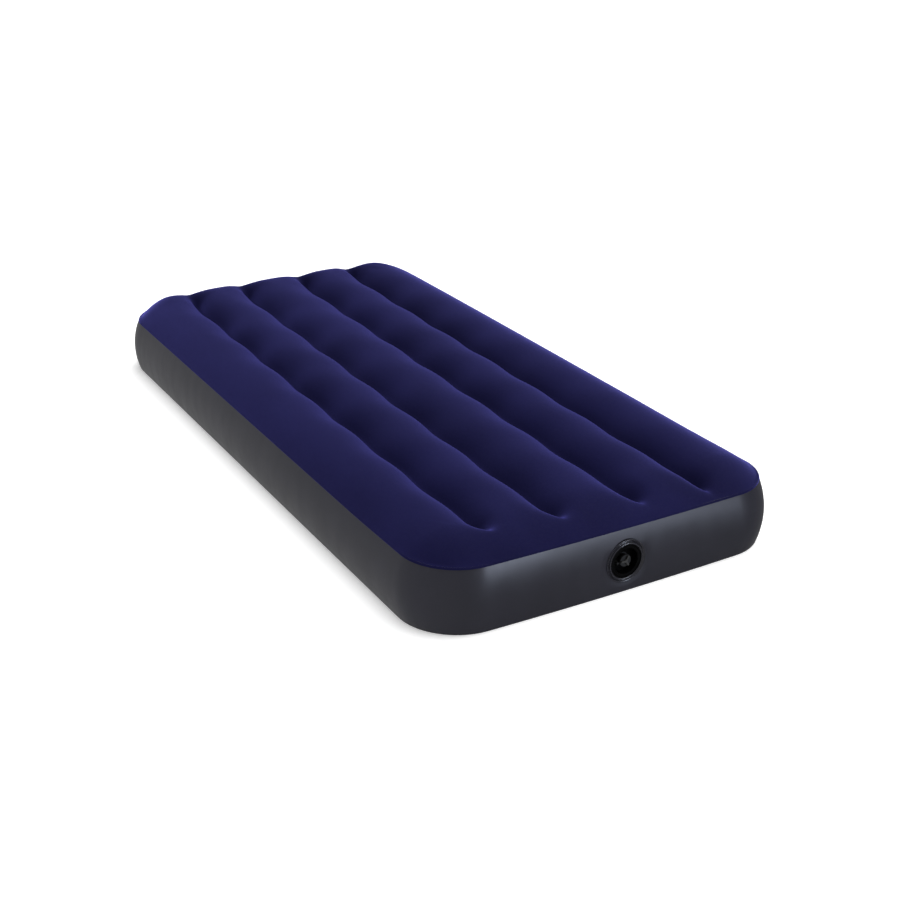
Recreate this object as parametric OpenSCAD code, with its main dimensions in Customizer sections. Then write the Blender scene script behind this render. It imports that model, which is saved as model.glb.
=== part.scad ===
// Flocked single air bed, inflated.
// Origin: centre of the underside. +Z up, +Y towards the head, valve in the foot wall at -Y.

/* [Bed] */
// Overall length, inflated
bed_l = 1910; // [1800:5:2000]
// Overall width, inflated
bed_w = 950; // [920:5:1100]
// Overall height at the crowns
bed_h = 192; // [185:1:230]
// Plan radius of the corners at the widest level of the wall
corner_r = 146; // [130:1:180]
// Thickness of every welded film, thickened so that it stays a solid
film_t = 2; // [1.5:0.1:2.5]

/* [Side wall] */
// Radius of the wall's bulge, seen in section
bulge_r = 188; // [160:1:240]
// Height of the wall's widest line
bulge_z = 62; // [58:1:78]
// Height of the weld between the wall and the top
seam_z = 147; // [142:1:155]

/* [Sleeping surface] */
// Distance of the two inner grooves from the centre line
groove_in_x = 98; // [88:1:104]
// Distance of the two outer grooves from the centre line
groove_out_x = 268; // [255:1:285]
// Depth of the grooves below the crowns
groove_depth = 55; // [30:1:60]
// Distance from the middle of the bed to where the right outer groove starts to fade at the foot
groove_foot_y = 885; // [870:1:890]
// How much sooner each groove starts to fade at the foot than its right neighbour
groove_foot_step = 14; // [0:1:15]
// Length over which each groove fades out at the foot
groove_foot_fade = 36; // [30:1:40]
// Distance from the middle of the bed to where the left outer groove starts to fade at the head
groove_head_y = 840; // [838:1:850]
// How much further each groove runs at full depth towards the head than its left neighbour
groove_head_step = 8; // [0:1:12]
// Distance from the middle of the bed to where every groove is gone at the head
groove_head_gone = 920; // [910:1:925]
// Side to side swing of the wavy weld lines
wave_a = 3.5; // [0:0.5:8]
// Length of one wave along the bed
wave_p = 224; // [150:1:300]
// Distance by which the wave's start lies towards the foot
wave_start = 81; // [0:1:150]
// Width over which a long side climbs from the wall weld to full height
rim_w = 132; // [110:1:170]
// Width over which the foot end climbs from the wall weld to full height
foot_rim_w = 98; // [90:1:130]
// Width over which the head end climbs from the wall weld to full height
head_rim_w = 78; // [70:1:130]
// How steeply the rim starts
rim_power = 2.7; // [2:0.1:3]

/* [Beams] */
// Length of the internal beams
beam_l = 1670; // [1500:10:1670]
// Width of the welded foot of a beam
beam_foot_w = 16; // [8:1:25]

/* [Valve] */
// Distance of the valve to the right of the middle of the foot wall
valve_x = 13; // [-100:1:100]
// Height of the valve's centre line above the ground
valve_z = 74; // [68:1:80]
// Outer radius of the soft weld flange
flange_r = 50.5; // [48:0.5:52]
// Outer radius of the rigid socket
socket_r = 40; // [39.5:0.1:40.5]
// Bore radius of the threaded socket
socket_bore_r = 35.2; // [35:0.1:35.4]
// Pitch of the plug's thread
thread_pitch = 6; // [5:0.5:7]
// Number of turns of thread on each part
thread_turns = 1.25; // [1:0.25:1.5]
// Bore radius of the inflation neck
neck_bore_r = 9; // [7:0.5:9.5]
// Outer radius of the inflation neck
neck_r = 11.8; // [11:0.1:12]
// Direction of the cap's strap, anticlockwise from +X, seen from outside
strap_angle = 195; // [180:5:200]

/* [Hidden] */
$fn = 96;

half_l = bed_l / 2;
half_w = bed_w / 2;
// how far the bulged wall stands in from the widest line at height z
function wall_inset(z) = bulge_r - sqrt(pow(bulge_r, 2) - pow(z - bulge_z, 2));
seam_inset = wall_inset(seam_z);
seam_hw = half_w - seam_inset;
seam_hl = half_l - seam_inset;
seam_r = corner_r - seam_inset;
lap_w = 4;                        // flat weld seat around the top sheet
crown_rise = bed_h - film_t - seam_z;

// ---- sleeping surface --------------------------------------------------------------------

function clamp01(t) = min(max(t, 0), 1);
function smooth(t) = let (c = clamp01(t)) c * c * (3 - 2 * c);
function wave(y) = wave_a * sin(360 * (y + wave_start) / wave_p) * smooth((half_l - 60 - abs(y)) / 80);
groove_x = [-groove_out_x, -groove_in_x, groove_in_x, groove_out_x];

// half width of the seam outline at distance y along the bed
function row_hw(y) = let (over = abs(y) - (seam_hl - seam_r))
    over <= 0 ? seam_hw : seam_hw - seam_r + sqrt(max(0, pow(seam_r, 2) - pow(over, 2)));

// place across the rim, 0 at the inner edge of the lap and 1 where the rim is at full height
function rim_t(x, y) =
    let (cx = abs(x) - (seam_hw - seam_r), cy = abs(y) - (seam_hl - seam_r),
         end_rim_w = y < 0 ? foot_rim_w : head_rim_w,
         toward_end = pow(sin(atan2(cy, cx)), 2),
         corner_w = rim_w + (end_rim_w - rim_w) * toward_end)
    cx > 0 && cy > 0 ? (seam_r - norm([cx, cy]) - lap_w) / corner_w
                     : min((seam_hw - abs(x) - lap_w) / rim_w, (seam_hl - abs(y) - lap_w) / end_rim_w);

function rim_height(t) = crown_rise * (1 - pow(1 - clamp01(t), rim_power));

// how far a round hump has dropped at t, 0 at its crown and 1 at its groove
hump_half = (groove_out_x - groove_in_x) / 2;
hump_r = (pow(hump_half, 2) + pow(groove_depth, 2)) / (2 * groove_depth);
function hump_drop(t) = hump_r - sqrt(pow(hump_r, 2) - pow(clamp01(t) * hump_half, 2));

// place across the bed, 0 on a crown and 1 in a groove
function hump_t(x) = let (a = abs(x))
    a < groove_in_x ? a / groove_in_x :
    a < groove_out_x ? abs(a - (groove_in_x + groove_out_x) / 2) / hump_half :
    1 - (a - groove_out_x) / hump_half;

// number of the groove nearest to x, 0 at the left
function nearest_groove(x) =
    x < 0 ? (x < -groove_in_x - hump_half ? 0 : 1) : (x < groove_in_x + hump_half ? 2 : 3);

// share of its full depth that the groove nearest to x has at y
function groove_fade(x, y) =
    let (k = nearest_groove(x),
         full = y < 0 ? groove_foot_y - groove_foot_step * (3 - k) : groove_head_y + groove_head_step * k,
         gone = y < 0 ? full + groove_foot_fade : groove_head_gone)
    smooth((gone - abs(y)) / (gone - full));

// height of the top sheet's underside; x is measured before the wave is added. A groove at full
// depth has a level floor, also where the rim falls towards an end.
groove_floor_z = bed_h - film_t - groove_depth;
function under_z(x, y) =
    let (crown_z = seam_z + rim_height(rim_t(x + wave(y), y)))
    crown_z - (crown_z - groove_floor_z) * hump_drop(hump_t(x)) / groove_depth * groove_fade(x, y);

inner_steps = 6;
outer_steps = 6;
function stepped(a, b, n) = [for (i = [1:n]) a + (b - a) * i / n];
// stations across one row: lap, outer hump, three inner humps, outer hump, lap
function row_x(y) = let (hw = row_hw(y), w = wave(y), rim = hw - lap_w)
    concat([-hw, -rim], stepped(-rim - w, groove_x[0], outer_steps),
           stepped(groove_x[0], groove_x[1], inner_steps),
           stepped(groove_x[1], groove_x[2], inner_steps),
           stepped(groove_x[2], groove_x[3], inner_steps),
           stepped(groove_x[3], rim - w, outer_steps), [hw]);
end_steps = [0, lap_w, 10, 20, 34, 52, 74, 98];
mid_rows = 40;
mid_y = seam_hl - 125;
row_y = concat([for (e = end_steps) e - seam_hl],
               [for (i = [0:mid_rows]) mid_y * (2 * i / mid_rows - 1)],
               [for (i = [1:len(end_steps)]) seam_hl - end_steps[len(end_steps) - i]]);
cols = len(row_x(0));
rows = len(row_y);

// the two end stations of a row sit on the outline, the others ride on the wave
function sheet_point(xs, i, y, lift) =
    let (on_edge = i < 2 || i > cols - 2, w = on_edge ? 0 : wave(y))
    [xs[i] + w, y, lift + (on_edge ? seam_z : under_z(xs[i], y))];
function sheet_layer(lift) =
    [for (y = row_y) let (xs = row_x(y)) for (i = [0:cols - 1]) sheet_point(xs, i, y, lift)];

// two triangles for the quad a, b, c, d
function quad(a, b, c, d) = [[a, b, c], [a, c, d]];
function flatten(lists) = [for (l = lists) for (item = l) item];

module top_sheet() {
    layer = rows * cols;
    under = flatten([for (j = [0:rows - 2], i = [0:cols - 2]) let (p = j * cols + i)
        quad(p, p + 1, p + cols + 1, p + cols)]);
    over = [for (t = under) [t[0] + layer, t[2] + layer, t[1] + layer]];
    ring = concat([for (i = [0:cols - 2]) i],
                  [for (j = [0:rows - 2]) j * cols + cols - 1],
                  [for (i = [0:cols - 2]) layer - 1 - i],
                  [for (j = [0:rows - 2]) (rows - 1 - j) * cols]);
    edge = flatten([for (k = [0:len(ring) - 1])
        let (a = ring[k], b = ring[(k + 1) % len(ring)]) quad(a, a + layer, b + layer, b)]);
    color("midnightblue")
        polyhedron(concat(sheet_layer(0), sheet_layer(film_t)), concat(under, over, edge));
}

// ---- wall and base -----------------------------------------------------------------------

// section of the bulged wall: x is the distance in from the widest line
module wall_section(height_from, height_to) {
    intersection() {
        translate([bulge_r, bulge_z]) difference() {
            circle(bulge_r);
            circle(bulge_r - film_t);
        }
        translate([0, height_from]) square([bulge_r / 2, height_to - height_from]);
    }
}

// a straight run of wall along +X whose outer side faces -Y
module wall_run(length, half_depth) {
    translate([-length / 2, -half_depth, 0]) rotate([90, 0, 90])
        linear_extrude(length) wall_section(film_t, seam_z);
}

// a quarter turn of wall around the corner at the centre of the plan radius
module wall_corner() {
    rotate_extrude(angle = 90) translate([corner_r, 0]) mirror([1, 0])
        wall_section(film_t, seam_z);
}

module side_wall() {
    run_x = bed_w - 2 * corner_r;
    run_y = bed_l - 2 * corner_r;
    color("slategray") difference() {
        union() {
            for (turn = [0, 180]) rotate(turn) {
                wall_run(run_x, half_l);
                rotate(90) wall_run(run_y, half_w);
                translate([run_x / 2, run_y / 2, 0]) wall_corner();
                translate([-run_x / 2, run_y / 2, 0]) rotate(90) wall_corner();
            }
        }
        at_valve() translate([0, 0, -30]) cylinder(r = flange_r, h = 60);
    }
}

module bottom_sheet() {
    base_inset = wall_inset(film_t);
    base_r = corner_r - base_inset;
    span_x = half_w - base_inset - base_r;
    span_y = half_l - base_inset - base_r;
    color("dimgray") linear_extrude(film_t) union() {
        square([2 * (span_x + base_r), 2 * span_y], center = true);
        square([2 * span_x, 2 * (span_y + base_r)], center = true);
        for (sx = [-1, 1], sy = [-1, 1]) translate([sx * span_x, sy * span_y]) circle(base_r);
    }
}

// ---- internal beams ----------------------------------------------------------------------

weld_gap = 0.05;
beam_y = [for (y = row_y) if (abs(y) <= beam_l / 2) y];

// wavy web with a welded foot on the base, following the groove at x
module wave_beam(x) {
    ends = concat([-beam_l / 2], beam_y, [beam_l / 2]);
    web = film_t / 2;
    foot_top = 2 * film_t;
    function web_top(y) = let (i = lookup(y, [for (k = [0:rows - 1]) [row_y[k], k]]),
                               a = floor(i), b = min(rows - 1, a + 1))
        (1 - i + a) * under_z(x, row_y[a]) + (i - a) * under_z(x, row_y[b]) - weld_gap;
    function mid_x(y) = let (i = lookup(y, [for (k = [0:rows - 1]) [row_y[k], k]]),
                             a = floor(i), b = min(rows - 1, a + 1))
        x + (1 - i + a) * wave(row_y[a]) + (i - a) * wave(row_y[b]);
    function ring(y) = let (m = mid_x(y), top = web_top(y))
        [[m - web, y, film_t], [m + beam_foot_w, y, film_t], [m + beam_foot_w, y, foot_top],
         [m + web, y, foot_top], [m + web, y, top], [m - web, y, top]];
    n = len(ends);
    points = flatten([for (y = ends) ring(y)]);
    skin = flatten([for (j = [0:n - 2], k = [0:5])
        let (a = 6 * j + k, b = 6 * j + (k + 1) % 6) quad(a, b, b + 6, a + 6)]);
    last = 6 * (n - 1);
    caps = [[3, 2, 1, 0], [5, 4, 3, 0], [for (k = [0:3]) last + k],
            [for (k = [0, 3, 4, 5]) last + k]];
    color("lightsteelblue") polyhedron(points, concat(skin, caps));
}

module wave_beam_1() { wave_beam(groove_x[0]); }
module wave_beam_2() { wave_beam(groove_x[1]); }
module wave_beam_3() { wave_beam(groove_x[2]); }
module wave_beam_4() { wave_beam(groove_x[3]); }

// ---- valve -------------------------------------------------------------------------------
// Valve parts are drawn with +Z pointing out of the foot wall. The soft lip's front, at
// flange_front, is level with the wall's widest line.

module at_valve() {
    translate([valve_x, flange_front - half_l, valve_z]) rotate([90, 0, 0]) children();
}

flange_front = -2.5;
flange_back = -13;
socket_front = -3.5;
socket_back = -32;
mouth_r = socket_r - 1.6;
seat_z = -9;
rim_r = mouth_r - 0.4;
rim_back = -7.2;
rim_front = -4.5;
cup_r = socket_bore_r - 1.6;
cup_bore_r = cup_r - 3;
cup_back = -26;
floor_back = -24;
floor_front = -21.5;
neck_front = -9.5;
cap_gap = 0.1;
cap_bore_r = neck_r + 0.3;
cap_r = cap_bore_r + 1.9;
cap_lap = 3;
hub_r = 4.6;
slot_r = 8.6;
stud_r = 1.55;
stud_bore_r = 1.65;
stud_head_r = 3.2;
stud_head_h = 1.1;
flap_t = 1.1;
flap_gap = 0.1;
flap_travel = 1.5;
hinge_x = 19.7;
hinge_z = neck_front - cap_lap / 2;
strap_w = 6;
strap_t = 1.6;
barrel_r = 0.8;
grip_h = 4;

// helical ridge whose root is buried in the wall at root_r and whose crest reaches crest_r
module thread(root_r, crest_r, start_z, root_w, crest_w) {
    per_turn = 30;
    n = round(per_turn * thread_turns);
    function ring(k) = let (a = 360 * k / per_turn, z = start_z + thread_pitch * k / per_turn)
        [for (p = [[root_r, -root_w], [crest_r, -crest_w], [crest_r, crest_w], [root_r, root_w]])
            [p[0] * cos(a), p[0] * sin(a), z + p[1] / 2]];
    inward = crest_r < root_r;
    points = flatten([for (k = [0:n]) ring(k)]);
    skin = flatten([for (k = [0:n - 1], e = [0:3])
        let (a = 4 * k + e, b = 4 * k + (e + 1) % 4)
        inward ? quad(a, a + 4, b + 4, b) : quad(a, b, b + 4, a + 4)]);
    first = [0, 1, 2, 3];
    last = [for (e = first) 4 * n + e];
    back = [3, 2, 1, 0];
    caps = inward ? [first, [for (e = back) last[e]]] : [back, last];
    polyhedron(points, concat(skin, caps));
}

// soft ring: a raised lip round the socket and a flat drum that the wall is welded to
module valve_flange() {
    lip_r = 1.4;
    lip_w = 4;
    drum_front = flange_front - lip_r;
    chamfer = 0.4;
    color("slategray") at_valve() rotate_extrude() {
        translate([socket_r, flange_back]) square([lip_w, drum_front - flange_back]);
        translate([socket_r + lip_r, drum_front]) circle(lip_r);
        translate([socket_r + lip_w - lip_r, drum_front]) circle(lip_r);
        translate([socket_r + lip_r, drum_front - 0.5])
            square([lip_w - 2 * lip_r, flange_front - drum_front + 0.5]);
        polygon([[socket_r + 1, flange_back], [flange_r, flange_back],
                 [flange_r, drum_front - chamfer], [flange_r - chamfer, drum_front],
                 [socket_r + 1, drum_front]]);
    }
}

module valve_socket() {
    color("black") at_valve() {
        difference() {
            translate([0, 0, socket_back]) cylinder(r = socket_r, h = socket_front - socket_back);
            translate([0, 0, socket_back - 1])
                cylinder(r = socket_bore_r, h = socket_front - socket_back + 2);
            translate([0, 0, seat_z]) cylinder(r = mouth_r, h = socket_front - seat_z + 1);
        }
        thread(socket_bore_r + 0.8, socket_bore_r - 1, -25, 2.4, 1.2);
    }
}

module plug_gasket() {
    gap = 0.05;
    color("dimgray") at_valve() translate([0, 0, seat_z + gap]) difference() {
        cylinder(r = rim_r - 0.4, h = rim_back - seat_z - gap);
        translate([0, 0, -1]) cylinder(r = socket_bore_r + 0.2, h = 4);
    }
}

// sector openings under the neck, separated by three arms around the hub
module floor_slots(arm_w) {
    difference() {
        circle(slot_r);
        circle(hub_r);
        for (a = [90, 210, 330]) rotate(a) translate([0, -arm_w / 2]) square([slot_r + 1, arm_w]);
    }
}

module screw_plug() {
    color("black") at_valve() {
        difference() {
            union() {
                translate([0, 0, cup_back]) cylinder(r = cup_r, h = rim_back - cup_back + 0.5);
                translate([0, 0, rim_back]) cylinder(r = rim_r, h = rim_front - rim_back);
            }
            translate([0, 0, floor_front]) cylinder(r = cup_bore_r, h = rim_front - floor_front + 1);
            translate([0, 0, cup_back - 1])
                cylinder(r = cup_bore_r, h = floor_back - cup_back + 1);
            translate([0, 0, floor_back - 1]) linear_extrude(floor_front - floor_back + 2)
                floor_slots(2.4);
            translate([0, 0, floor_back - 1]) cylinder(r = stud_bore_r, h = 5);
            translate([0, 0, floor_front - stud_head_h - 0.2])
                cylinder(r = stud_head_r + 0.1, h = 2);
        }
        translate([0, 0, floor_front - 0.5]) difference() {
            cylinder(r = neck_r, h = neck_front - floor_front + 0.5);
            translate([0, 0, -1]) cylinder(r = neck_bore_r, h = neck_front - floor_front + 3);
        }
        thread(cup_r - 0.8, cup_r + 1.1, -22, 2.4, 1.2);
    }
}

module flap_disc() {
    color("gray") at_valve() translate([0, 0, floor_back - flap_gap - flap_t]) difference() {
        cylinder(r = 12.5, h = flap_t);
        translate([0, 0, -1]) cylinder(r = stud_bore_r, h = flap_t + 2);
    }
}

module flap_stud() {
    head_back = floor_back - flap_gap - flap_t - flap_travel - 0.1;
    color("whitesmoke") at_valve() {
        translate([0, 0, head_back - 1.4]) cylinder(r = 4, h = 1.4);
        translate([0, 0, head_back - 0.5]) cylinder(r = stud_r, h = floor_front - head_back);
        translate([0, 0, floor_front - stud_head_h - 0.2]) cylinder(r = stud_head_r, h = stud_head_h);
    }
}

// a flat bar along the strap's direction, from u0 to u1, between two heights
module strap_bar(u0, u1, z0, z1, width = strap_w) {
    translate([u0, -width / 2, z0]) cube([u1 - u0, width, z1 - z0]);
}

module cap_strap() {
    ring_r = neck_r + 2.6;
    riser_top = hinge_z - barrel_r - 0.35;
    color("dimgray") at_valve() rotate(strap_angle) translate([0, 0, floor_front]) {
        difference() {
            union() {
                cylinder(r = ring_r, h = strap_t);
                strap_bar(neck_r + 1, hinge_x + strap_t / 2, 0, strap_t);
            }
            translate([0, 0, -1]) cylinder(r = neck_r + 0.05, h = strap_t + 2);
        }
        strap_bar(hinge_x - strap_t / 2, hinge_x + strap_t / 2, 0, riser_top - floor_front);
    }
}

// outline of the three-lobed grip
module grip_outline(reach, width, lobe_r) {
    circle(width);
    for (a = [60, 180, 300]) rotate(a) {
        translate([0, -width / 2]) square([reach - lobe_r, width]);
        translate([reach - lobe_r, 0]) circle(lobe_r);
    }
}

module nozzle_cap() {
    crown_z = neck_front + cap_gap + 2.4;
    tab_half = barrel_r - 0.1;
    color("darkslategray") at_valve() {
        difference() {
            translate([0, 0, neck_front - cap_lap])
                cylinder(r = cap_r, h = crown_z - neck_front + cap_lap);
            translate([0, 0, neck_front - cap_lap - 1])
                cylinder(r = cap_bore_r, h = cap_lap + cap_gap + 1);
        }
        translate([0, 0, crown_z - 0.4]) linear_extrude(grip_h + 0.4)
            grip_outline(cap_r - 1.2, 3.6, 2.2);
        rotate(strap_angle) {
            strap_bar(cap_r - 0.8, hinge_x, hinge_z - tab_half, hinge_z + tab_half, strap_w - 1);
            translate([hinge_x, strap_w / 2, hinge_z]) rotate([90, 0, 0])
                cylinder(r = barrel_r, h = strap_w);
        }
    }
}

top_sheet();
side_wall();
bottom_sheet();
wave_beam_1();
wave_beam_2();
wave_beam_3();
wave_beam_4();
valve_flange();
valve_socket();
plug_gasket();
screw_plug();
flap_disc();
flap_stud();
cap_strap();
nozzle_cap();
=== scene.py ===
"""Flocked single air bed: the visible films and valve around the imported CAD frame.

Metres, +Z up, +Y towards the head end, the valve in the foot wall at -Y.
"""
import math

import bmesh
import bpy
import numpy as np
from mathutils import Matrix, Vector, noise


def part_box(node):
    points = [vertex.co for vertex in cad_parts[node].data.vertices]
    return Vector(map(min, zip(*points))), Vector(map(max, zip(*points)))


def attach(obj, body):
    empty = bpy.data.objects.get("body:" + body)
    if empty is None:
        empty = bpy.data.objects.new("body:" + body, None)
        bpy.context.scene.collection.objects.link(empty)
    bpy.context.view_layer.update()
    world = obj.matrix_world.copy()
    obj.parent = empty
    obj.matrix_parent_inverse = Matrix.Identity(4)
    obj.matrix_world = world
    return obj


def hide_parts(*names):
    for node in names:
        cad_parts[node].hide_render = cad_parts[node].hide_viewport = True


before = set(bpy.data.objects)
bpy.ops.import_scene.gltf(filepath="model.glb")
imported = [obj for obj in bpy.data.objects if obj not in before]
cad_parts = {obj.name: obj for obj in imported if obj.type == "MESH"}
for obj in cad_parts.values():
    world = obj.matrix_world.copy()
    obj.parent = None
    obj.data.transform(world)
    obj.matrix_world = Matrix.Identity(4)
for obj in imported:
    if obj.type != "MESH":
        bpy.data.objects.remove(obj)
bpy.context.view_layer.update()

# ---- sizes taken from the frame -----------------------------------------------------------
WALL_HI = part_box("side_wall")[1]
TOP_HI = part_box("top_sheet")[1]
FLANGE_LO, FLANGE_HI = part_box("valve_flange")
HALF_W, HALF_L = WALL_HI[0], WALL_HI[1]
SEAM_HW, SEAM_HL, SEAM_Z = TOP_HI[0], TOP_HI[1], WALL_HI[2]
BED_H = TOP_HI[2]
VALVE_X = (FLANGE_LO[0] + FLANGE_HI[0]) / 2
VALVE_Z = (FLANGE_LO[2] + FLANGE_HI[2]) / 2
FLANGE_R = (FLANGE_HI[0] - FLANGE_LO[0]) / 2
SEAM_INSET = HALF_W - SEAM_HW

# ---- shape of the inflated films ----------------------------------------------------------
CORNER_R = 0.146         # plan radius at the wall's widest line
SEAM_R = CORNER_R - SEAM_INSET
BULGE_R = 0.188          # radius of the wall's bulge in section
BULGE_Z = 0.062          # height of its widest line
GROOVE_IN, GROOVE_OUT = 0.098, 0.268     # distance of the inner and outer grooves from the middle
GROOVES = (-GROOVE_OUT, -GROOVE_IN, GROOVE_IN, GROOVE_OUT)
GROOVE_DEPTH = 0.055
GROOVE_FLOOR = BED_H - GROOVE_DEPTH
# the rightmost groove starts to fade at FOOT_Y, each one to its left a STEP sooner, and goes in FADE
GROOVE_FOOT_Y, GROOVE_FOOT_STEP, GROOVE_FOOT_FADE = 0.858, 0.021, 0.080
# at the head the leftmost starts to fade at HEAD_Y, each one to its right a STEP later
GROOVE_HEAD_Y, GROOVE_HEAD_STEP, GROOVE_HEAD_GONE = 0.840, 0.008, 0.920
TAPER, TAPER_POWER = 0.220, 4.0      # a groove closes over this length to a narrow crease
FOOT_BOW, HEAD_BOW = 0.008, 0.013    # how far the inflated ends bow out in their middle
BOW_REACH = 0.30         # the bow builds up over this length at each end
BOW_MARGIN = 0.05        # and is gone this far inside the sides
FOOT_LIFT = 0.006        # rise of the weld towards the foot
LIFT_FROM, LIFT_REACH, LIFT_POWER = 0.55, 0.38, 6    # where the rise starts, its run, its growth with height
WAVE_A, WAVE_P, WAVE_START = 0.0035, 0.224, 0.081    # sideways swing, length and start of the grooves' wave
WAVE_MARGIN, WAVE_FADE = 0.06, 0.08      # the wave dies out over FADE, up to MARGIN from the ends
# width over which the top rises from the weld, at the sides and the two ends, and how round it rises
RIM_W, FOOT_RIM_W, HEAD_RIM_W, RIM_POWER = 0.132, 0.150, 0.078, 2.7
LAP = 0.004              # flat edge of the top film, on the weld
FILM_T = 0.0008
CELL = 0.010             # spacing of the film meshes before they are subdivided


def smooth(t):
    t = np.clip(t, 0, 1)
    return t * t * (3 - 2 * t)


def wall_inset(z):
    return BULGE_R - np.sqrt(BULGE_R ** 2 - (z - BULGE_Z) ** 2)


def wave(y):
    swing = WAVE_A * np.sin(2 * np.pi * (y + WAVE_START) / WAVE_P)
    return swing * smooth((HALF_L - WAVE_MARGIN - np.abs(y)) / WAVE_FADE)


def rim_place(x, y):
    """Place across the rim: 0 at the inner edge of the lap, 1 where it is at full height."""
    cx, cy = np.abs(x) - (SEAM_HW - SEAM_R), np.abs(y) - (SEAM_HL - SEAM_R)
    toward_end = np.sin(np.arctan2(np.maximum(cy, 0), np.maximum(cx, 1e-9))) ** 2
    end_w = np.where(y < 0, FOOT_RIM_W, HEAD_RIM_W)
    corner = (SEAM_R - np.hypot(cx, cy) - LAP) / (RIM_W + (end_w - RIM_W) * toward_end)
    side = np.minimum((SEAM_HW - np.abs(x) - LAP) / RIM_W, (SEAM_HL - np.abs(y) - LAP) / end_w)
    return np.clip(np.where((cx > 0) & (cy > 0), corner, side), 0, 1)


HUMP_HALF = (GROOVE_OUT - GROOVE_IN) / 2


def hump_place(x):
    """Place across the bed: 0 on a crown, 1 in a groove."""
    a = np.abs(x)
    t = np.where(a < GROOVE_IN, a / GROOVE_IN,
                 np.where(a < GROOVE_OUT, np.abs(a - GROOVE_IN - HUMP_HALF) / HUMP_HALF,
                          1 - (a - GROOVE_OUT) / HUMP_HALF))
    return np.clip(t, 0, 1)


def hump_drop(x):
    """How far the round humps have dropped below their crowns at x, with a crease at a groove."""
    r = (HUMP_HALF ** 2 + GROOVE_DEPTH ** 2) / (2 * GROOVE_DEPTH)
    return r - np.sqrt(r ** 2 - (hump_place(x) * HUMP_HALF) ** 2)


def groove_end(x, y):
    """Distances from the middle where the groove nearest to x starts to fade and where it is gone."""
    middle = (GROOVE_IN + GROOVE_OUT) / 2
    k = np.where(x < 0, np.where(x < -middle, 0, 1), np.where(x < middle, 2, 3))
    foot = GROOVE_FOOT_Y - GROOVE_FOOT_STEP * (3 - k)
    full = np.where(y < 0, foot, GROOVE_HEAD_Y + GROOVE_HEAD_STEP * k)
    gone = np.where(y < 0, foot + GROOVE_FOOT_FADE, GROOVE_HEAD_GONE)
    return full, gone


def groove_fade(x, y):
    """Share of its full depth that the groove nearest to x has at y."""
    full, gone = groove_end(x, y)
    return smooth((gone - np.abs(y)) / (gone - full))


def groove_narrowing(x, y):
    """0 along the bed, rising to 1 where a groove closes to a point."""
    return smooth((np.abs(y) - groove_end(x, y)[1] + TAPER) / TAPER)


def top_height(x, y, shift):
    """Height of the top film; x is measured before the wave's shift is added."""
    seam_z = SEAM_Z + seam_lift(y)
    crown = seam_z + (BED_H - seam_z) * (1 - (1 - rim_place(x + shift, y)) ** RIM_POWER)
    narrow = groove_narrowing(x, y)
    drop = (1 - narrow) * hump_drop(x) / GROOVE_DEPTH + narrow * hump_place(x) ** TAPER_POWER
    return crown - (crown - GROOVE_FLOOR) * drop * groove_fade(x, y)


def seam_lift(y):
    """How much higher the weld sits towards the foot."""
    return FOOT_LIFT * smooth((-y - LIFT_FROM) / LIFT_REACH)


def end_bow(x, y, z):
    """Shift along the bed that rounds its ends out, most in the middle of each end."""
    across = 1 - np.clip(np.abs(x) / (HALF_W - BOW_MARGIN), 0, 1) ** 2
    at_end = smooth((np.abs(y) - HALF_L + BOW_REACH) / BOW_REACH)
    foot = np.where(z > BULGE_Z, FOOT_BOW, 2 * FOOT_BOW) * wall_inset(np.minimum(z, SEAM_Z)) / SEAM_INSET
    return across * at_end * np.where(y < 0, -foot, HEAD_BOW)


# ---- mesh helpers -------------------------------------------------------------------------
def steps(a, b, n):
    return list(np.linspace(a, b, n + 1)[1:])


def corner_patch(r, n):
    """Points filling a quarter disc of radius r on an n by n grid, as [along y][along x]."""
    u = np.linspace(0, 1, n + 1)
    left = np.stack([0 * u, r * u], 1)
    bottom = np.stack([r * u, 0 * u], 1)
    right = r * np.stack([np.cos(u * np.pi / 4), np.sin(u * np.pi / 4)], 1)
    top = r * np.stack([np.sin(u * np.pi / 4), np.cos(u * np.pi / 4)], 1)
    uu, vv = u[None, :, None], u[:, None, None]
    edges = ((1 - uu) * left[:, None] + uu * right[:, None]
             + (1 - vv) * bottom[None] + vv * top[None])
    tips = ((1 - vv) * ((1 - uu) * left[0] + uu * right[0])
            + vv * ((1 - uu) * left[-1] + uu * right[-1]))
    return edges - tips


def rounded_grid(hw, hl, r, xs, ys, n):
    """A grid of points over a rounded rectangle; its middle columns and rows are xs and ys."""
    rows, cols = len(ys) + 2 * n, len(xs) + 2 * n
    at = np.zeros((rows, cols, 2))
    px = np.concatenate([-(hw - r) - r * np.linspace(1, 0, n + 1)[:-1], xs,
                         (hw - r) + r * np.linspace(0, 1, n + 1)[1:]])
    py = np.concatenate([-(hl - r) - r * np.linspace(1, 0, n + 1)[:-1], ys,
                         (hl - r) + r * np.linspace(0, 1, n + 1)[1:]])
    at[..., 0], at[..., 1] = px[None, :], py[:, None]
    patch = corner_patch(r, n)
    for sx in (-1, 1):
        for sy in (-1, 1):
            block = patch * (sx, sy) + ((hw - r) * sx, (hl - r) * sy)
            rows_at = slice(rows - n - 1, rows) if sy > 0 else slice(n, None, -1)
            cols_at = slice(cols - n - 1, cols) if sx > 0 else slice(n, None, -1)
            at[rows_at, cols_at] = block
    return at


def grid_faces(rows, cols, wrap=False):
    last = cols if wrap else cols - 1
    return [(j * cols + i, j * cols + (i + 1) % cols,
             (j + 1) * cols + (i + 1) % cols, (j + 1) * cols + i)
            for j in range(rows - 1) for i in range(last)]


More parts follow.
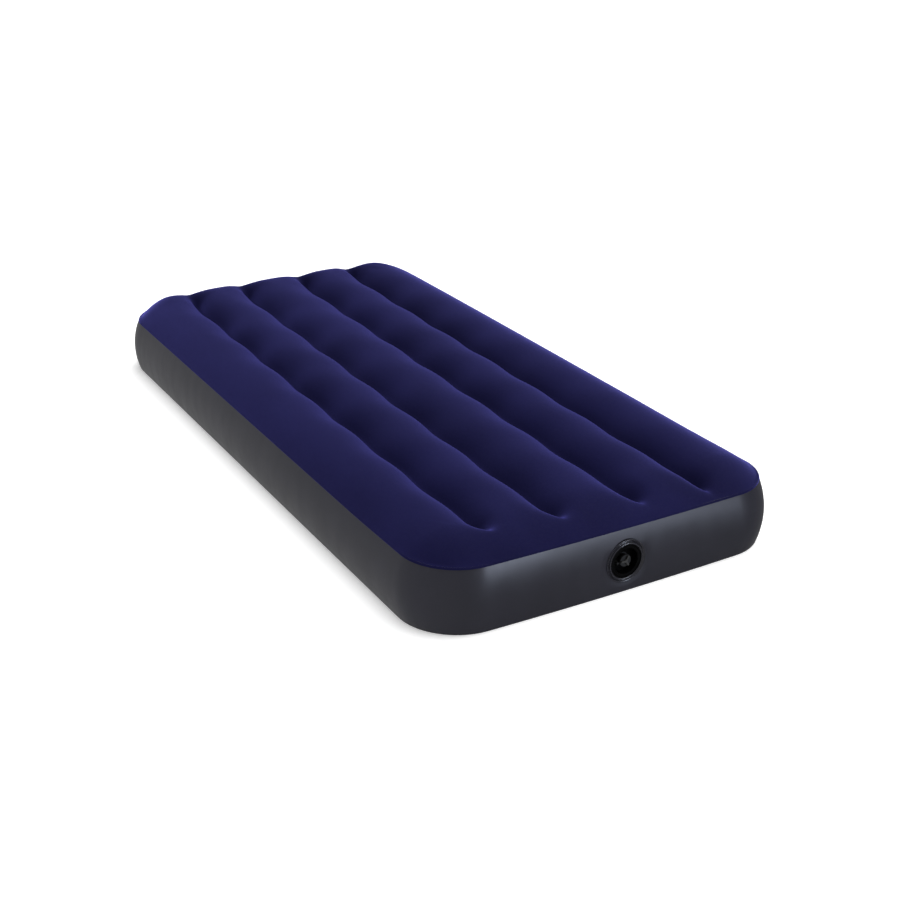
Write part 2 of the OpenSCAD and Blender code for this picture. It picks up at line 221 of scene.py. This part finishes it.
def new_piece(name, points, faces, material, body="bed"):
    mesh = bpy.data.meshes.new(name)
    mesh.from_pydata([tuple(map(float, p)) for p in points], [], faces)
    mesh.validate()
    mesh.polygons.foreach_set("use_smooth", [True] * len(mesh.polygons))
    mesh.materials.append(material)
    obj = bpy.data.objects.new(name, mesh)
    bpy.context.scene.collection.objects.link(obj)
    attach(obj, body)
    return obj


def add_modifier(obj, kind, **values):
    m = obj.modifiers.new(kind.lower(), kind)
    for key, value in values.items():
        setattr(m, key, value)


def thicken_film(obj):
    """Subdivide a film once and give it its thickness, inwards."""
    add_modifier(obj, "SUBSURF", levels=1, render_levels=1)
    add_modifier(obj, "SOLIDIFY", thickness=FILM_T, offset=-1)


def read_points(obj):
    co = np.zeros(len(obj.data.vertices) * 3)
    obj.data.vertices.foreach_get("co", co)
    return co.reshape(-1, 3)


def weld(obj, reach=0.0001):
    """Join the vertices that lie on each other, and keep the cut edges out of the film's shading."""
    bm = bmesh.new()
    bm.from_mesh(obj.data)
    bmesh.ops.remove_doubles(bm, verts=bm.verts, dist=reach)
    for edge in bm.edges:
        edge.smooth = not edge.is_boundary
    bm.to_mesh(obj.data)
    bm.free()


# ---- materials ----------------------------------------------------------------------------
def material(name, color, roughness, **sockets):
    m = bpy.data.materials.new(name)
    m.use_nodes = True
    shader = m.node_tree.nodes["Principled BSDF"]
    shader.inputs["Base Color"].default_value = (*color, 1)
    shader.inputs["Roughness"].default_value = roughness
    for key, value in sockets.items():
        shader.inputs[key.replace("_", " ")].default_value = value
    return m


def node(m, kind, **values):
    n = m.node_tree.nodes.new(kind)
    for key, value in values.items():
        if key in n.inputs:
            n.inputs[key].default_value = value
        else:
            setattr(n, key, value)
    return n


def link(m, a, out, b, into):
    m.node_tree.links.new(a.outputs[out], b.inputs[into])


def noise_node(m, scale, detail=3.0, stretch=(1, 1, 1)):
    coords = node(m, "ShaderNodeTexCoord")
    mapping = node(m, "ShaderNodeMapping")
    mapping.inputs["Scale"].default_value = stretch
    tex = node(m, "ShaderNodeTexNoise")
    tex.inputs["Scale"].default_value = scale
    tex.inputs["Detail"].default_value = detail
    link(m, coords, "Object", mapping, "Vector")
    link(m, mapping, "Vector", tex, "Vector")
    return tex


def as_colour(value):
    return (*value, 1) if isinstance(value, tuple) else (value, value, value, 1)


def ramp(m, source, low, high):
    """Spread the middle of a noise's range from low to high, as numbers or colours."""
    r = node(m, "ShaderNodeValToRGB")
    for stop, place, value in zip(r.color_ramp.elements, (0.35, 0.65), (low, high)):
        stop.position = place
        stop.color = as_colour(value)
    link(m, source, 0, r, "Fac")
    return r


def bump(m, layers):
    """Chain bumps of (height source, strength, distance) into the shader's normal."""
    last = None
    for source, strength, distance in layers:
        b = node(m, "ShaderNodeBump", Strength=strength, Distance=distance)
        link(m, source, 0, b, "Height")
        if last:
            link(m, last, "Normal", b, "Normal")
        last = b
    link(m, last, "Normal", m.node_tree.nodes["Principled BSDF"], "Normal")


def flock_material():
    low, high = (0.0050, 0.0048, 0.027), (0.0068, 0.0066, 0.036)
    m = material("flock", low, 0.95, Sheen_Weight=0.72, Sheen_Roughness=0.32,
                 Sheen_Tint=(0.23, 0.225, 1.0, 1), Specular_IOR_Level=0.04)
    shader = m.node_tree.nodes["Principled BSDF"]
    patches = noise_node(m, 5.5, 4, (1, 0.55, 1))
    link(m, ramp(m, patches, low, high), 0, shader, "Base Color")
    fibres = noise_node(m, 900, 2)
    tufts = noise_node(m, 210, 3)
    link(m, ramp(m, tufts, 0.84, 1.0), 0, shader, "Roughness")
    bump(m, [(tufts, 0.25, 0.0008), (fibres, 0.45, 0.0004)])
    return m


def vinyl_material(name, low, high, rough_low, rough_high, **sockets):
    m = material(name, low, rough_low, **sockets)
    shader = m.node_tree.nodes["Principled BSDF"]
    clouds = noise_node(m, 7, 3)
    link(m, ramp(m, clouds, low, high), 0, shader, "Base Color")
    grain = noise_node(m, 650, 2)
    smear = noise_node(m, 28, 4, (1, 1, 0.4))
    link(m, ramp(m, smear, rough_low, rough_high), 0, shader, "Roughness")
    bump(m, [(smear, 0.08, 0.0015), (grain, 0.10, 0.0003)])
    return m


def moulded_material(name, color, roughness, **sockets):
    m = material(name, color, roughness, **sockets)
    shader = m.node_tree.nodes["Principled BSDF"]
    wear = noise_node(m, 160, 4)
    link(m, ramp(m, wear, roughness * 0.8, min(1, roughness * 1.3)), 0, shader, "Roughness")
    tone = noise_node(m, 45, 2)
    light = tuple(min(1, c * 1.5 + 0.0004) for c in color)
    link(m, ramp(m, tone, color, light), 0, shader, "Base Color")
    grain = noise_node(m, 1400, 2)
    bump(m, [(grain, 0.12, 0.0002)])
    return m


def paint_recess_shade(m, deep_y, front_y, least):
    """Paint shade into a material in a recess: its colour darkens with depth, to the share least at deep_y,
    and not at all at front_y.
    """
    shader = m.node_tree.nodes["Principled BSDF"]
    tone = shader.inputs["Base Color"].links[0].from_node
    coords, axes = node(m, "ShaderNodeTexCoord"), node(m, "ShaderNodeSeparateXYZ")
    link(m, coords, "Object", axes, 0)
    # painted shade: the share of the colour kept, from least at deep_y to all of it at front_y
    depth = node(m, "ShaderNodeMapRange")
    for key, value in {"From Min": deep_y, "From Max": front_y, "To Min": least, "To Max": 1.0}.items():
        depth.inputs[key].default_value = value
    link(m, axes, "Y", depth, "Value")
    shaded_tone = node(m, "ShaderNodeVectorMath", operation="SCALE")
    link(m, tone, 0, shaded_tone, 0)
    link(m, depth, 0, shaded_tone, "Scale")
    link(m, shaded_tone, 0, shader, "Base Color")


FLOCK = flock_material()
WALL_VINYL = vinyl_material("wall_vinyl", (0.0130, 0.0130, 0.021), (0.0150, 0.0150, 0.024), 0.32, 0.37,
                            Specular_IOR_Level=0.27)
BASE_VINYL = vinyl_material("base_vinyl", (0.019, 0.0195, 0.024), (0.023, 0.0235, 0.029), 0.5, 0.62)
BEAM_VINYL = vinyl_material("beam_vinyl", (0.22, 0.24, 0.27), (0.27, 0.29, 0.33), 0.4, 0.5)
FLANGE_VINYL = vinyl_material("flange_vinyl", (0.0105, 0.0105, 0.016), (0.0125, 0.0125, 0.019), 0.2, 0.28,
                              Specular_IOR_Level=0.4)
BLACK_PLASTIC = moulded_material("black_plastic", (0.0008, 0.0008, 0.0009), 0.42,
                                 Specular_IOR_Level=0.03)
GASKET_RUBBER = moulded_material("gasket_rubber", (0.020, 0.020, 0.021), 0.7)
FLAP_RUBBER = moulded_material("flap_rubber", (0.16, 0.16, 0.155), 0.6)
STUD_NYLON = moulded_material("stud_nylon", (0.55, 0.54, 0.50), 0.45)
CAP_VINYL = moulded_material("cap_vinyl", (0.018, 0.018, 0.0175), 0.5, Specular_IOR_Level=0.3)
CAP_DISC_Y, CAP_GRIP_Y = FLANGE_LO[1] + 0.0043, FLANGE_LO[1] + 0.0028    # depths of the cap's disc and grip, between which the painted shade fades out
CAP_DISC_SHADE_SHARE = 0.12                    # how dark the painted shade leaves the disc beside the grip
# painted shade on the small cap and its strap: their colour darkens with depth into the valve's recess, most
# at the disc
paint_recess_shade(CAP_VINYL, CAP_DISC_Y, CAP_GRIP_Y, CAP_DISC_SHADE_SHARE)


# ---- the flocked top ----------------------------------------------------------------------
CORNER_CELLS = 15
LAP_DROPS = (0.0008, 0.0024, 0.0042)     # rings of the edge that laps down over the wall
LAP_GAP = 0.0010
MID_X, MID_Y = SEAM_HW - SEAM_R, SEAM_HL - SEAM_R    # where the weld's straight sides end
CLOTH_FRAMES, CLOTH_PRESSURE, CLOTH_CAP = 20, 4.0, 0.008


def column_places():
    """Columns across the straight part, with one exactly on each groove."""
    outer, inner = round((MID_X - GROOVE_OUT) / CELL), round((GROOVE_OUT - GROOVE_IN) / CELL)
    return np.array([-MID_X] + steps(-MID_X, -GROOVE_OUT, outer)
                    + steps(-GROOVE_OUT, -GROOVE_IN, inner) + steps(-GROOVE_IN, GROOVE_IN, inner)
                    + steps(GROOVE_IN, GROOVE_OUT, inner) + steps(GROOVE_OUT, MID_X, outer))


def inflate(obj, pinned, frames, pressure, cap):
    """Blow a film up with Blender's cloth, its welds pinned, and keep moves of up to cap."""
    start = read_points(obj)
    group = obj.vertex_groups.new(name="welds")
    group.add([int(i) for i in pinned], 1.0, "REPLACE")
    cloth = obj.modifiers.new("cloth", "CLOTH")
    s = cloth.settings
    s.vertex_group_mass = "welds"
    s.quality = 6
    s.mass = 0.05
    s.tension_stiffness = s.compression_stiffness = 40
    s.shear_stiffness = 10
    s.bending_stiffness = 0.5
    s.effector_weights.gravity = 0
    s.use_pressure = True
    s.uniform_pressure_force = pressure
    cloth.point_cache.frame_start, cloth.point_cache.frame_end = 1, frames
    scene = bpy.context.scene
    for f in range(1, frames + 1):
        scene.frame_set(f)
    e = obj.evaluated_get(bpy.context.evaluated_depsgraph_get())
    out = np.zeros(len(obj.data.vertices) * 3)
    e.data.vertices.foreach_get("co", out)
    move = out.reshape(-1, 3) - start
    size = np.linalg.norm(move, axis=1, keepdims=True)
    move *= np.minimum(1, cap / np.maximum(size, 1e-9))
    obj.modifiers.remove(cloth)
    obj.vertex_groups.remove(group)
    scene.frame_set(1)
    obj.data.vertices.foreach_set("co", (start + move).ravel())
    obj.data.update()


def add_lap(points, faces, index):
    """Turn the film's edge down over the wall, a little outside it, as far as its weld goes."""
    edge = np.concatenate([index[0, :-1], index[:-1, -1], index[-1, :0:-1], index[:0:-1, 0]])
    x, y = points[edge, 0], points[edge, 1]
    away = np.stack([x - np.clip(x, -MID_X, MID_X), y - np.clip(y, -MID_Y, MID_Y)], 1)
    away /= np.linalg.norm(away, axis=1, keepdims=True)
    n, before = len(edge), edge
    for drop in LAP_DROPS:
        out = SEAM_INSET - float(wall_inset(SEAM_Z - drop)) + LAP_GAP
        ring = np.column_stack([x + away[:, 0] * out, y + away[:, 1] * out, points[edge, 2] - drop])
        now = np.arange(len(points), len(points) + n)
        points = np.concatenate([points, ring])
        faces += [(before[(k + 1) % n], before[k], now[k], now[(k + 1) % n]) for k in range(n)]
        before = now
    return points, faces


def flocked_top():
    xs = column_places()
    ys = np.linspace(-MID_Y, MID_Y, round(2 * MID_Y / CELL) + 1)
    at = rounded_grid(SEAM_HW, SEAM_HL, SEAM_R, xs, ys, CORNER_CELLS)
    rows, cols = at.shape[:2]
    x, y = at[..., 0], at[..., 1]
    follow = 1 - smooth((np.abs(x) - MID_X) / SEAM_R)
    shift = wave(y) * follow
    z = top_height(x, y, shift)
    points = np.stack([x + shift, y + end_bow(x, y, z), z], -1).reshape(-1, 3)
    index = np.arange(rows * cols).reshape(rows, cols)
    faces = grid_faces(rows, cols)
    points, faces = add_lap(points, faces, index)
    obj = new_piece("flocked_top", points, faces, FLOCK)
    on_edge = np.zeros((rows, cols), bool)
    on_edge[[0, -1], :] = on_edge[:, [0, -1]] = True
    on_groove = np.zeros((rows, cols), bool)
    for g in GROOVES:
        on_groove[:, CORNER_CELLS + int(np.argmin(np.abs(xs - g)))] = True
    on_groove &= np.abs(y) < groove_end(x, y)[1]
    lap = np.arange(rows * cols, len(points))
    pinned = np.concatenate([index[on_edge | on_groove], lap])
    inflate(obj, pinned, CLOTH_FRAMES, CLOTH_PRESSURE, CLOTH_CAP)
    thicken_film(obj)
    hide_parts("top_sheet")


# ---- the bulging wall ---------------------------------------------------------------------
VALVE_HALF = 0.080       # half width of the wall patch that runs round the valve
MEET_W = 0.020           # width over which the wall turns to meet the valve's ring
MEET_Y = FLANGE_LO[1] + 0.0034   # the wall stands no further out where it meets the ring
WALL_ROWS = 16
WALL_FOOT_Z = 0.0008     # the wall's lower edge, just clear of the ground
PUCKER_DEEP, PUCKER_P, PUCKER_REACH = 0.0009, 0.023, 0.045   # depth, spacing, reach from each weld
PUCKER_SWING, PUCKER_DRIFT = 2, 31       # how unevenly the puckers are spaced, and how quickly it changes
SOFT_DEEP, SOFT_REACH = 0.0006, 0.03     # slow unevenness of the film, fading to each weld
SOFT_SCALE = (3, 3, 6)
PATCH_RINGS, PATCH_CROWD = 7, 1.25       # rings round the valve, crowded towards it by this power
PATCH_TUCK = 0.0006      # how far the wall runs in under the ring's edge


def outline_point(s):
    """Point and outward direction at distance s along the wall's widest line.

    It starts in the middle of the foot wall and runs anticlockwise seen from above."""
    run_x, run_y, arc = 2 * (HALF_W - CORNER_R), 2 * (HALF_L - CORNER_R), CORNER_R * math.pi / 2
    lengths = [run_x / 2, arc, run_y, arc, run_x, arc, run_y, arc, run_x / 2]
    cx, cy = run_x / 2, run_y / 2
    starts = [((0, -HALF_L), -90), ((cx, -cy), -90), ((HALF_W, -cy), 0), ((cx, cy), 0),
              ((cx, HALF_L), 90), ((-cx, cy), 90), ((-HALF_W, cy), 180), ((-cx, -cy), 180),
              ((-cx, -HALF_L), 270)]
    s = s % sum(lengths)
    last = len(lengths) - 1
    for k, (length, (origin, angle)) in enumerate(zip(lengths, starts)):
        if s <= length or k == last:
            break
        s -= length
    on_corner = k % 2 == 1
    a = math.radians(angle) + (s / CORNER_R if on_corner else 0)
    n = (math.cos(a), math.sin(a))
    if on_corner:
        return (origin[0] + CORNER_R * n[0], origin[1] + CORNER_R * n[1]), n
    return (origin[0] - n[1] * s, origin[1] + n[0] * s), n


def perimeter():
    return 4 * (HALF_W - CORNER_R) + 4 * (HALF_L - CORNER_R) + 2 * math.pi * CORNER_R


def wall_point(s, z):
    """A point of the wall film, with the dip round the valve and small puckers at the corners."""
    (px, py), n = outline_point(s)
    inset = float(wall_inset(z))
    x, y = px - n[0] * inset, py - n[1] * inset
    y += float(end_bow(x, y, z))
    if py < -HALF_L + 1e-6:
        r = math.hypot(x - VALVE_X, z - VALVE_Z)
        near = 1 - float(smooth((r - FLANGE_R) / MEET_W))
        y += (max(y, MEET_Y) - y) * near ** 2
    turning = abs(n[0] * n[1]) * 2
    to_weld = min(z, SEAM_Z - z)
    edge = max(0.0, 1 - to_weld / PUCKER_REACH)
    phase = s * 2 * math.pi / PUCKER_P + PUCKER_SWING * math.sin(s * PUCKER_DRIFT)
    pucker = PUCKER_DEEP * turning * edge ** 2 * math.sin(phase)
    soft = SOFT_DEEP * noise.noise(Vector((x * SOFT_SCALE[0], y * SOFT_SCALE[1], z * SOFT_SCALE[2])))
    push = pucker + soft * float(smooth(to_weld / SOFT_REACH))
    lift = float(seam_lift(y)) * (z / SEAM_Z) ** LIFT_POWER
    return (x + n[0] * push, y + n[1] * push, z + lift)


def valve_patch(zs):
    """Points and faces of the wall round the valve: rings from the valve out to a square border."""
    across = round(2 * VALVE_HALF / CELL)
    left, right = VALVE_X - VALVE_HALF, VALVE_X + VALVE_HALF
    border = [(x, zs[0]) for x in np.linspace(left, right, across + 1)[:-1]]
    border += [(right, z) for z in zs[:-1]]
    border += [(x, zs[-1]) for x in np.linspace(right, left, across + 1)[:-1]]
    border += [(left, z) for z in zs[:0:-1]]
    meet_r = FLANGE_R - PATCH_TUCK
    points = []
    for k in range(PATCH_RINGS + 1):
        t = (k / PATCH_RINGS) ** PATCH_CROWD
        for bx, bz in border:
            a = math.atan2(bz - VALVE_Z, bx - VALVE_X)
            hx, hz = VALVE_X + meet_r * math.cos(a), VALVE_Z + meet_r * math.sin(a)
            points.append(wall_point(hx + (bx - hx) * t, hz + (bz - hz) * t))
    return points, [f[::-1] for f in grid_faces(PATCH_RINGS + 1, len(border), wrap=True)]


def side_wall_film():
    length = perimeter()
    zs = np.linspace(WALL_FOOT_Z, SEAM_Z, WALL_ROWS + 1)
    count = round((length - 2 * VALVE_HALF) / CELL)
    ss = np.linspace(VALVE_X + VALVE_HALF, length + VALVE_X - VALVE_HALF, count + 1)
    points = [wall_point(s, z) for z in zs for s in ss]
    faces = grid_faces(len(zs), len(ss))
    patch_points, patch_faces = valve_patch(zs)
    faces += [tuple(len(points) + i for i in f) for f in patch_faces]
    obj = new_piece("wall_film", points + patch_points, faces, WALL_VINYL)
    weld(obj)
    thicken_film(obj)
    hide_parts("side_wall")


# ---- the soft ring round the valve --------------------------------------------------------
LIP_R, LIP_MID = 0.0016, 0.0417        # section radius of the round lip, and its middle circle
LIP_STEPS = 12
RING_IN = 0.0401                       # radius of the ring's bore
LIP_FOOT = LIP_MID + LIP_R
FOOT_ROUND = (0.0002, 0.0012)          # the lip's foot turns into the dish between these distances
FOOT_SHARE = 0.7                       # share of the dish's depth where that turn starts
DISH_DEEP, DISH_EDGE = 0.0046, 0.0014  # depth of the dish behind the lip's front, and of its edge
DISH_STEPS = 6
DISH_END = FLANGE_R - 0.0008
EDGE_ROUND = ((0.0002, 0.0004), (0.0, 0.0012))    # the outer edge's turn: inwards from it, behind it
RING_BACK = 0.0100
RING_TURNS = 160


def ring_profile():
    """Section of the ring as (radius, depth behind the lip's front), from the bore outwards."""
    points = [(RING_IN, RING_BACK), (RING_IN, LIP_R)]
    for k in range(1, LIP_STEPS):
        a = math.pi * k / LIP_STEPS
        points.append((LIP_MID - LIP_R * math.cos(a), LIP_R - LIP_R * math.sin(a)))
    dish_start = LIP_FOOT + FOOT_ROUND[1]
    points += [(LIP_FOOT, LIP_R), (LIP_FOOT + FOOT_ROUND[0], DISH_DEEP * FOOT_SHARE), (dish_start, DISH_DEEP)]
    for k in range(1, DISH_STEPS + 1):
        t = k / DISH_STEPS
        points.append((dish_start + (DISH_END - dish_start) * t,
                       DISH_DEEP + (DISH_EDGE - DISH_DEEP) * float(smooth(t))))
    points += [(FLANGE_R - inwards, DISH_EDGE + behind) for inwards, behind in EDGE_ROUND]
    return points + [(FLANGE_R, RING_BACK)]


def valve_ring():
    section = ring_profile()
    n = len(section)
    points = []
    for k in range(RING_TURNS):
        a = 2 * math.pi * k / RING_TURNS
        points += [(VALVE_X + r * math.cos(a), FLANGE_LO[1] + d, VALVE_Z + r * math.sin(a))
                   for r, d in section]
    faces = [(k * n + i, k * n + (i + 1) % n, (k + 1) % RING_TURNS * n + (i + 1) % n,
              (k + 1) % RING_TURNS * n + i) for k in range(RING_TURNS) for i in range(n)]
    obj = new_piece("valve_ring", points, faces, FLANGE_VINYL)
    add_modifier(obj, "SUBSURF", levels=1, render_levels=1)
    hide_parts("valve_flange")


# ---- the base film ------------------------------------------------------------------------
BASE_GROOVE_H = 0.012    # how far a beam pulls the base up off the ground
BASE_GROOVE_W = 0.038    # on each side of the beam
BASE_GROOVE_POWER = 1.6
BEAM_HALF_L = 0.835      # the beams pull as far as this from the middle,
BASE_FADE = 0.060        # and over this length the pull dies out
BASE_EDGE_Z = 0.001      # height on the wall at which the base meets it
BASE_GAP = 0.0003        # and how far inside the wall it stays
BASE_LONG_CELL = 1.6 * CELL
BASE_CORNER_CELLS = 12


def base_film():
    inset = float(wall_inset(BASE_EDGE_Z))
    hw, hl, r = HALF_W - inset - BASE_GAP, HALF_L - inset - BASE_GAP, CORNER_R - inset
    xs = np.linspace(-(hw - r), hw - r, round(2 * (hw - r) / CELL) + 1)
    ys = np.linspace(-(hl - r), hl - r, round(2 * (hl - r) / BASE_LONG_CELL) + 1)
    at = rounded_grid(hw, hl, r, xs, ys, BASE_CORNER_CELLS)
    rows, cols = at.shape[:2]
    x, y = at[..., 0], at[..., 1]
    lift = np.zeros_like(x)
    for g in GROOVES:
        away = np.abs(x - g - wave(y)) / BASE_GROOVE_W
        beam_end = smooth((BEAM_HALF_L + BASE_FADE - np.abs(y)) / BASE_FADE)
        lift += BASE_GROOVE_H * (1 - np.clip(away, 0, 1)) ** BASE_GROOVE_POWER * beam_end
    points = np.stack([x, y + end_bow(x, y, 0.0), lift], -1).reshape(-1, 3)
    faces = [f[::-1] for f in grid_faces(rows, cols)]
    obj = new_piece("base_film", points, faces, BASE_VINYL)
    thicken_film(obj)
    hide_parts("bottom_sheet")


# ---- camera, light and floor --------------------------------------------------------------
LENS_MM, SENSOR_MM = 58.43, 36
CAMERA_SHIFT = (0.0068, 0.0047)
CAMERA_PLACE, CAMERA_TARGET = Vector((-1.6842, -3.1482, 1.5997)), Vector((-0.1377, -0.4267, 0.1490))
CAMERA_SIGHT = 50        # metres
WORLD_LEFT, WORLD_RIGHT = 0.72, 0.18     # the room is brighter on the left, as beside a window
SUN_STRENGTH, SUN_SPREAD, SUN_WAY = 3.8, 75, Vector((-0.55, -0.10, -1))    # spread in degrees
SOFTBOX_PLACE, SOFTBOX_TARGET = Vector((1.55, -3.85, 0.48)), Vector((0.0, -0.95, 0.12))
SOFTBOX_SIZE, SOFTBOX_POWER, SOFTBOX_COLOUR = (0.74, 0.68), 84, (0.72, 0.80, 1.0)
FLOOR_HALF, FLOOR_DROP = 14, 0.0005      # half width, and how far it lies under the bed
FLOOR_TONE, FLOOR_SHINE = 0.93, 0.3


def aim(obj, way):
    obj.rotation_euler = way.to_track_quat("-Z", "Y").to_euler()


def camera():
    data = bpy.data.cameras.new("camera")
    data.lens, data.sensor_width = LENS_MM, SENSOR_MM
    data.shift_x, data.shift_y = CAMERA_SHIFT
    data.clip_end = CAMERA_SIGHT
    cam = bpy.data.objects.new("camera", data)
    bpy.context.scene.collection.objects.link(cam)
    cam.location = CAMERA_PLACE
    aim(cam, CAMERA_TARGET - CAMERA_PLACE)
    bpy.context.scene.camera = cam


def foot_softbox():
    """A cool panel in front of the foot that adds gloss and no diffuse light."""
    data = bpy.data.lights.new("foot_softbox", "AREA")
    data.shape = "RECTANGLE"
    data.size, data.size_y = SOFTBOX_SIZE
    data.energy, data.color = SOFTBOX_POWER, SOFTBOX_COLOUR
    lamp = bpy.data.objects.new("foot_softbox", data)
    bpy.context.scene.collection.objects.link(lamp)
    lamp.location = SOFTBOX_PLACE
    aim(lamp, SOFTBOX_TARGET - SOFTBOX_PLACE)
    lamp.visible_diffuse = False


def sky_panel():
    """One broad, soft light from the right and above."""
    data = bpy.data.lights.new("sky_panel", "SUN")
    data.energy, data.angle = SUN_STRENGTH, math.radians(SUN_SPREAD)
    sun = bpy.data.objects.new("sky_panel", data)
    bpy.context.scene.collection.objects.link(sun)
    aim(sun, SUN_WAY)


def surroundings():
    """White all round, brighter on the left, and plain white where it is seen itself."""
    world = bpy.data.worlds.new("studio")
    world.use_nodes = True
    nodes, links = world.node_tree.nodes, world.node_tree.links
    back = nodes["Background"]
    back.inputs["Color"].default_value = (1.0, 1.0, 1.0, 1)
    coords = nodes.new("ShaderNodeTexCoord")
    axes = nodes.new("ShaderNodeSeparateXYZ")
    across = nodes.new("ShaderNodeMapRange")
    across.inputs["From Min"].default_value, across.inputs["From Max"].default_value = -1, 1
    across.inputs["To Min"].default_value, across.inputs["To Max"].default_value = WORLD_LEFT, WORLD_RIGHT
    links.new(coords.outputs["Generated"], axes.inputs[0])
    links.new(axes.outputs["X"], across.inputs["Value"])
    path = nodes.new("ShaderNodeLightPath")
    shown = nodes.new("ShaderNodeMath")
    shown.operation = "MAXIMUM"
    links.new(across.outputs[0], shown.inputs[0])
    links.new(path.outputs["Is Camera Ray"], shown.inputs[1])
    links.new(shown.outputs[0], back.inputs["Strength"])
    bpy.context.scene.world = world
    bpy.context.scene.view_settings.view_transform = "Standard"


def paper_floor():
    mesh = bpy.data.meshes.new("floor")
    half = FLOOR_HALF
    mesh.from_pydata([(-half, -half, 0), (half, -half, 0), (half, half, 0), (-half, half, 0)], [],
                     [(0, 1, 2, 3)])
    mesh.materials.append(material("floor_paper", (FLOOR_TONE, FLOOR_TONE, FLOOR_TONE), 0.9,
                                   Emission_Color=(1, 1, 1, 1), Emission_Strength=FLOOR_SHINE))
    floor = bpy.data.objects.new("floor", mesh)
    bpy.context.scene.collection.objects.link(floor)
    floor.location.z = -FLOOR_DROP
    floor.visible_glossy = False


# ---- the CAD pieces that stay --------------------------------------------------------------
CAD_LOOKS = {
    "valve_socket": BLACK_PLASTIC, "screw_plug": BLACK_PLASTIC, "plug_gasket": GASKET_RUBBER,
    "flap_disc": FLAP_RUBBER, "flap_stud": STUD_NYLON, "cap_strap": CAP_VINYL, "nozzle_cap": CAP_VINYL,
}
CAD_LOOKS.update({f"wave_beam_{k + 1}": BEAM_VINYL for k in range(len(GROOVES))})


def dress_cad():
    for name, look in CAD_LOOKS.items():
        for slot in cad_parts[name].material_slots:
            slot.material = look


camera()
surroundings()
sky_panel()
foot_softbox()
paper_floor()
dress_cad()
flocked_top()
side_wall_film()
valve_ring()
base_film()
